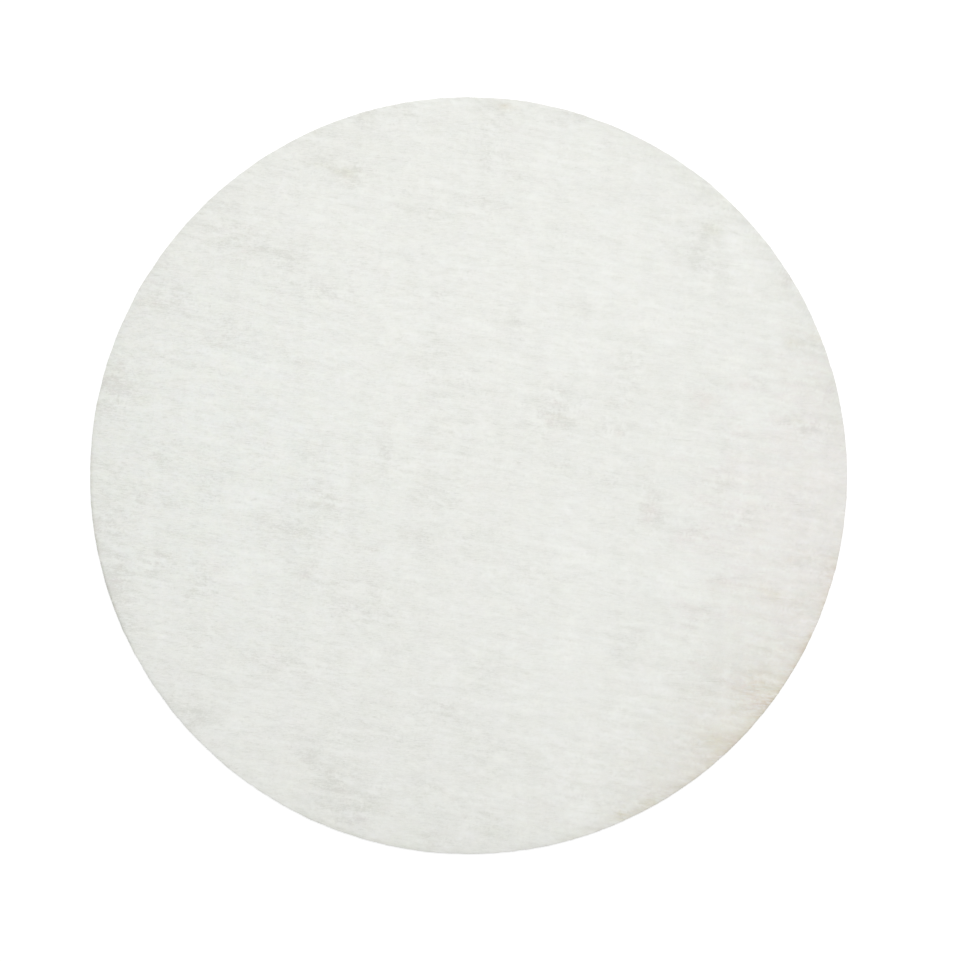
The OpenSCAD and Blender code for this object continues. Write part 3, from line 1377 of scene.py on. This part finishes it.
    def unwrap(self, mesh: bpy.types.Mesh) -> None:
        """Give each strand a cell of its own on the flat map, with its ends over its sides.

        Args:
            mesh: The fibres' mesh.
        """
        one = []
        for ring in range(self.rings - 1):
            near, far = ring / (self.rings - 1), (ring + 1) / (self.rings - 1)
            for side in range(self.sides):
                one += [(near, side), (far, side), (far, side + 1), (near, side + 1)]
        end_foot, end_head = self.sides + 0.2, self.sides + 0.9
        for start in (0.0, 0.5):
            one += [(start, end_foot), (start + 0.4, end_foot), (start, end_head)]
        margin = 0.05
        cell = np.array(one) / (1.0, self.sides + 1.0) * (1 - 2 * margin) + margin
        cells = math.ceil(math.sqrt(self.count))
        index = np.arange(self.count)
        corner = np.column_stack([index % cells, index // cells])
        flat = (corner[:, None, :] + cell[None, :, :]) / cells
        add_unwrap(mesh, flat.reshape(-1, 2))


# --- Finishes -------------------------------------------------------------------------------


@dataclass(frozen=True)
class Zone:
    """A soft round zone of the sheet, with its middle and reach in mm and how strongly it shows."""

    x_mm: float
    y_mm: float
    reach_mm: float
    strength: float

    def shown(self, x: Signal, y: Signal) -> Signal:
        """Give the zone's strength in its middle, falling to 0 at its reach."""
        away = ((x - self.x_mm) ** 2 + (y - self.y_mm) ** 2).maths("SQRT")
        return away.rise(self.reach_mm, 0.0) * self.strength


@dataclass(frozen=True)
class PaperFinish:
    """Soft white filter paper: a felt of fine dashes and flocs, a little aged.

    The sizes of its blotches are in mm: along the grain, across it and through the sheet. Levels
    are display levels. The fine pattern is stronger at the left and where the felt lies thin, and
    the sag darkens the lightest and the darkest places alike.
    """

    grain: float
    light: Colour = display(244.2, 245.0, 240.9)
    dark: Colour = display(220.2, 221.0, 215.1)
    span_levels: float = 24.0
    fine_turn: float = math.radians(7.5)
    sway_mm: Triple = (9.0, 5.0, 9.0)
    speck_mm: Triple = (0.17, 0.12, 0.15)
    speck_levels: float = 0.86
    dash_mm: Triple = (0.60, 0.13, 0.3)
    fine_levels: float = 1.92
    contrast: float = 0.9
    thread_mm: Triple = (1.5, 0.30, 0.6)
    middle_levels: float = 1.25
    fleck_mm: Triple = (0.70, 0.16, 0.3)
    fleck_levels: float = 6.7
    fleck_floor: float = 0.8
    cloud_mm: Triple = (9.0, 7.5, 8.0)
    cloud_levels: float = 0.7
    rib_mm: Triple = (30.0, 2.4, 12.0)
    rib_turn: float = math.radians(97.5)
    rib_sway: float = 0.05
    rib_levels: float = 1.5
    patch_mm: Triple = (5.0, 2.6, 4.0)
    thin_gain: float = 0.1
    least_gain: float = 0.4
    left_gain: float = 0.0108
    sag: float = 0.028
    green_zone: Zone = Zone(-32.0, 2.0, 36.0, 1.05)
    green: Colour = (0.993, 1.0, 1.001, 1.0)
    green_cloud: float = 0.12
    green_felt: float = 0.05
    pink_zone: Zone = Zone(48.0, -7.0, 34.0, 1.18)
    pink: Colour = (1.012, 0.993, 1.002, 1.0)
    pink_patches: float = 0.36
    pink_threads: float = 0.15
    pink_felt: float = 0.06
    pink_edge: tuple[float, float] = (0.25, 0.85)
    hue_mm: tuple[Triple, ...] = ((0.6, 0.4, 0.5), (2.6, 1.7, 2.0))
    hue_depth: float = 0.0186
    green_hues: float = 0.7
    pink_hues: float = 0.5
    mark_and_shade_hues: float = 12.0
    mark_share: float = 0.85
    mark_dashes: float = 0.4
    mark_threads: float = 0.3
    mark_patches: float = 0.45
    bump_depth: float = 2.5e-6
    thread_height: float = 0.8
    roughness: float = 0.93
    felt_polish: float = 0.008
    dash_polish: float = 0.02
    specular: float = 0.25

    def material(self) -> bpy.types.Material:
        """Make the sheet's material.

        Returns:
            The material.
        """
        made = bpy.data.materials.new("filter_paper")
        desk = NodeDesk(made)
        place = desk.place_mm()
        x, y, _ = desk.split(place)
        at = self.laid_along(desk, place, self.grain)
        close = self.laid_along(desk, place, self.grain + self.fine_turn)
        over = self.laid_along(desk, place, self.grain + self.rib_turn, self.rib_sway)

        specks = desk.noise(close, self.speck_mm)
        dashes = desk.noise(close, self.dash_mm, 1.0)
        flecks = (desk.noise(close, self.fleck_mm) - self.fleck_floor).at_least(0.0)
        threads = desk.noise(at, self.thread_mm, 1.0)
        cloud = desk.noise(at, self.cloud_mm, 2.0)
        patches = desk.noise(at, self.patch_mm, 2.0)
        ribs = desk.noise(over, self.rib_mm, 2.0)
        felt = Signal(desk, desk.stored(FELT_ATTRIBUTE).outputs["Fac"])
        mark = desk.stored(MARK_AND_SHADE_ATTRIBUTE).outputs["Color"]

        strong = (1 - x * self.left_gain) * (1 - felt * self.thin_gain).at_least(self.least_gain)
        fine = self.sharpened(specks) * self.speck_levels + self.sharpened(dashes) * self.fine_levels
        fine = (fine + threads * self.middle_levels - flecks * self.fleck_levels) * strong
        level = fine + felt + cloud * self.cloud_levels + ribs * self.rib_levels
        level = level - level * level * self.sag
        colour = desk.mix("MIX", level / self.span_levels + 0.5, self.dark, self.light)

        left = self.green_zone.shown(x, y) + cloud * self.green_cloud + felt * self.green_felt
        right = self.pink_zone.shown(x, y) + patches * self.pink_patches + threads * self.pink_threads
        right = (right - felt * self.pink_felt).rise(*self.pink_edge)
        colour = desk.mix("MIX", left, colour, desk.tinted_by(colour, self.green))
        colour = desk.mix("MIX", right, colour, desk.tinted_by(colour, self.pink))

        # Where the stored colour darkens, from stains or from the painted rim shade, the hues swing
        # further.
        marked_and_shaded = 1 - desk.split(mark)[2]
        depth = 1.0 + left * self.green_hues + right * self.pink_hues + marked_and_shaded * self.mark_and_shade_hues
        depth = depth * self.hue_depth
        for size in self.hue_mm:
            colour = desk.tinted_by(colour, desk.hues(at, size, depth))

        # Mix in the stored stains and the painted shade along the rim.
        uneven = self.mark_share + dashes * self.mark_dashes + threads * self.mark_threads
        uneven = (uneven - patches * self.mark_patches).at_least(0.0)
        colour = desk.mix("MIX", uneven, colour, desk.tinted_by(colour, mark))

        rough = self.roughness - felt * self.felt_polish - dashes * self.dash_polish
        height = {"Height": dashes + threads * self.thread_height, "Distance": self.bump_depth}
        desk.paint(
            {
                "Base Color": colour,
                "Roughness": rough.at_most(1.0),
                "Normal": desk.add("ShaderNodeBump", {}, height).outputs[0],
                "Specular IOR Level": self.specular,
            }
        )
        return made

    def laid_along(
        self, desk: NodeDesk, place: bpy.types.NodeSocket, grain: float, swaying: float = 0.25
    ) -> bpy.types.NodeSocket:
        """Turn places so that their first number runs along the fibres, which sway a little.

        Args:
            desk: Where the nodes go.
            place: The place, in mm.
            grain: The angle of the fibres from X.
            swaying: How far they sway, in mm.

        Returns:
            The turned place.
        """
        values = {"Vector": place, "Angle": -grain}
        turned = desk.add("ShaderNodeVectorRotate", {"rotation_type": "Z_AXIS"}, values).outputs[0]
        u, v, w = desk.split(turned)
        return desk.point(u, v + desk.noise(turned, self.sway_mm) * swaying, w)

    def sharpened(self, noise: Signal) -> Signal:
        """Raise the peaks of a noise over the rest."""
        return noise * (noise * noise * self.contrast + 1.0)


@dataclass(frozen=True)
class FibreFinish:
    """A bare cotton fibre. Some are whiter than others, and each is kinked."""

    light: Colour = display(247, 248, 245)
    dark: Colour = display(229, 229, 222)
    kink_mm: Triple = (0.12, 0.12, 0.12)
    kink_shade: float = 0.12
    kink_roughness: float = 0.04
    roughness: float = 0.8
    specular: float = 0.3

    def material(self) -> bpy.types.Material:
        """Make the fibres' material.

        Returns:
            The material.
        """
        made = bpy.data.materials.new("cotton_fibre")
        desk = NodeDesk(made)
        shade = Signal(desk, desk.stored(SHADE_ATTRIBUTE).outputs["Fac"])
        kinks = desk.noise(desk.place_mm(), self.kink_mm, 1.0)
        colour = desk.mix("MIX", shade + kinks * self.kink_shade, self.dark, self.light)
        # The fibres take the sheet's stains and its painted rim shade.
        desk.paint(
            {
                "Base Color": desk.tinted_by(colour, desk.stored(MARK_AND_SHADE_ATTRIBUTE).outputs["Color"]),
                "Roughness": self.roughness + kinks * self.kink_roughness,
                "Specular IOR Level": self.specular,
            }
        )
        return made


# --- The studio -----------------------------------------------------------------------------


@dataclass
class Studio:
    """A pale floor, soft light from all round, one key light and one lamp, and the camera.

    The shares of the world, the key and the lamp are what each adds to a flat white sheet's
    brightness.
    """

    top: float
    floor_half: float = 3.0
    floor_colour: Colour = (0.95, 0.95, 0.95, 1.0)
    floor_glow: float = 1.21
    floor_glow_share: float = 0.55
    backdrop: Colour = (1.0, 1.0, 1.0, 1.0)
    world_share: float = 0.530
    key_share: float = 0.23
    lamp_share: float = 0.29
    key_azimuth: float = math.radians(75)
    key_elevation: float = math.radians(50)
    key_softness: float = math.radians(24)
    lamp_at: Triple = (8 * MM, 30 * MM, 165 * MM)
    lamp_radius: float = 35 * MM
    lens_mm: float = 100.0
    camera_over: tuple[float, float] = (1.48 * MM, -0.62 * MM)
    camera_height: float = 317.6 * MM
    nearest: float = 1 * MM
    farthest: float = 10.0

    def build(self) -> None:
        """Set up the floor, lights and camera."""
        self.lay_floor()
        self.light_room()
        self.hang_lamps()
        self.place_camera()
        bpy.context.scene.view_settings.view_transform = "Standard"

    def seen(self, desk: NodeDesk) -> Signal:
        """Tell the rays that show a surface from those that light one.

        Args:
            desk: Where the nodes go.

        Returns:
            1 for a camera, glossy or transmission ray, otherwise 0.
        """
        rays = desk.add("ShaderNodeLightPath").outputs
        camera = Signal(desk, rays["Is Camera Ray"])
        glossy = Signal(desk, rays["Is Glossy Ray"])
        through = Signal(desk, rays["Is Transmission Ray"])
        return camera.at_least(glossy).at_least(through)

    def lay_floor(self) -> None:
        """Lay the floor, which looks white and keeps the sheet's shadow."""
        corners = [(-1, -1, 0), (1, -1, 0), (1, 1, 0), (-1, 1, 0)]
        floor = make_piece("studio_floor", np.array(corners) * self.floor_half, [[0, 1, 2, 3]])
        finish = bpy.data.materials.new("floor_white")
        desk = NodeDesk(finish)
        matt = desk.add("ShaderNodeBsdfDiffuse", {}, {"Color": self.floor_colour})
        glow = desk.add("ShaderNodeEmission", {}, {"Strength": self.floor_glow})
        share = self.seen(desk) * self.floor_glow_share
        both = {0: share, 1: matt.outputs[0], 2: glow.outputs[0]}
        mixed = desk.add("ShaderNodeMixShader", {}, both)
        desk.add("ShaderNodeOutputMaterial", {}, {"Surface": mixed.outputs[0]})
        floor.data.materials.append(finish)

    def light_room(self) -> None:
        """Light the room softly from all round, with a white backdrop."""
        world = bpy.data.worlds.new("studio_world")
        desk = NodeDesk(world)
        strength = self.seen(desk) * (1 - self.world_share) + self.world_share
        glow = desk.add("ShaderNodeBackground", {}, {"Color": self.backdrop, "Strength": strength})
        desk.add("ShaderNodeOutputWorld", {}, {"Surface": glow.outputs[0]})
        bpy.context.scene.world = world

    def hang_lamps(self) -> None:
        """Hang the key light and the lamp over the sheet."""
        key = bpy.data.lights.new("key_light", "SUN")
        key.energy = self.key_share * math.pi / math.sin(self.key_elevation)
        key.angle = self.key_softness
        flat = math.cos(self.key_elevation)
        north, east = math.sin(self.key_azimuth), math.cos(self.key_azimuth)
        toward = Vector((flat * east, flat * north, math.sin(self.key_elevation)))
        self.hang(key, toward, toward)
        lamp = bpy.data.lights.new("top_lamp", "AREA")
        lamp.shape = "DISK"
        lamp.size = 2 * self.lamp_radius
        lamp.energy = self.lamp_share * math.pi**2 * self.lamp_at[2] ** 2
        self.hang(lamp, Vector(self.lamp_at), Vector((0, 0, 1)))

    def hang(self, light: bpy.types.Light, place: Vector, back: Vector) -> None:
        """Put a light in the scene, out of the camera's sight.

        Args:
            light: The light.
            place: Where it hangs.
            back: The way its back faces.
        """
        hung = bpy.data.objects.new(light.name, light)
        hung.location = place
        hung.rotation_euler = back.to_track_quat("Z", "Y").to_euler()
        hung.visible_camera = False
        bpy.context.scene.collection.objects.link(hung)

    def place_camera(self) -> None:
        """Look straight down on the sheet."""
        lens = bpy.data.cameras.new("camera")
        lens.lens = self.lens_mm
        lens.clip_start = self.nearest
        lens.clip_end = self.farthest
        camera = bpy.data.objects.new("camera", lens)
        camera.location = (*self.camera_over, self.top + self.camera_height)
        bpy.context.scene.collection.objects.link(camera)
        bpy.context.scene.camera = camera


def main() -> None:
    """Build the sheet, its loose fibres and the studio, and report each piece."""
    logging.basicConfig(level=logging.INFO, format="%(name)s: %(message)s")
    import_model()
    low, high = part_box(CAD_NODE)
    section = CutSection(radius=(high[0] - low[0]) / 2, thickness=high[2] - low[2])
    felt = Felt()
    sheet = FilterSheet(section, felt, felt.grow(), PaperFinish(felt.grain))
    fibre = FibreFinish()
    on_face = LooseFibres(
        "surface_fibres", Lie.ON_FACE, sheet, fibre, 5000, 0.4 * MM, 4.0 * MM, spread=0.16, seed=21
    )
    at_cut = LooseFibres(
        "cut_fibres", Lie.AT_CUT, sheet, fibre, 3000, 0.03 * MM, 0.14 * MM, spread=0.5, seed=22, rings=3
    )
    face = sheet.build()
    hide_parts(CAD_NODE)
    strands = [lot.build() for lot in (on_face, at_cut)]
    for piece in [face, *strands]:
        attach(piece, BODY)
        log.info("%s: %d points, %d faces", piece.name, len(piece.data.vertices), len(piece.data.polygons))
    Studio(top=section.thickness).build()


if __name__ == "__main__":
    main()
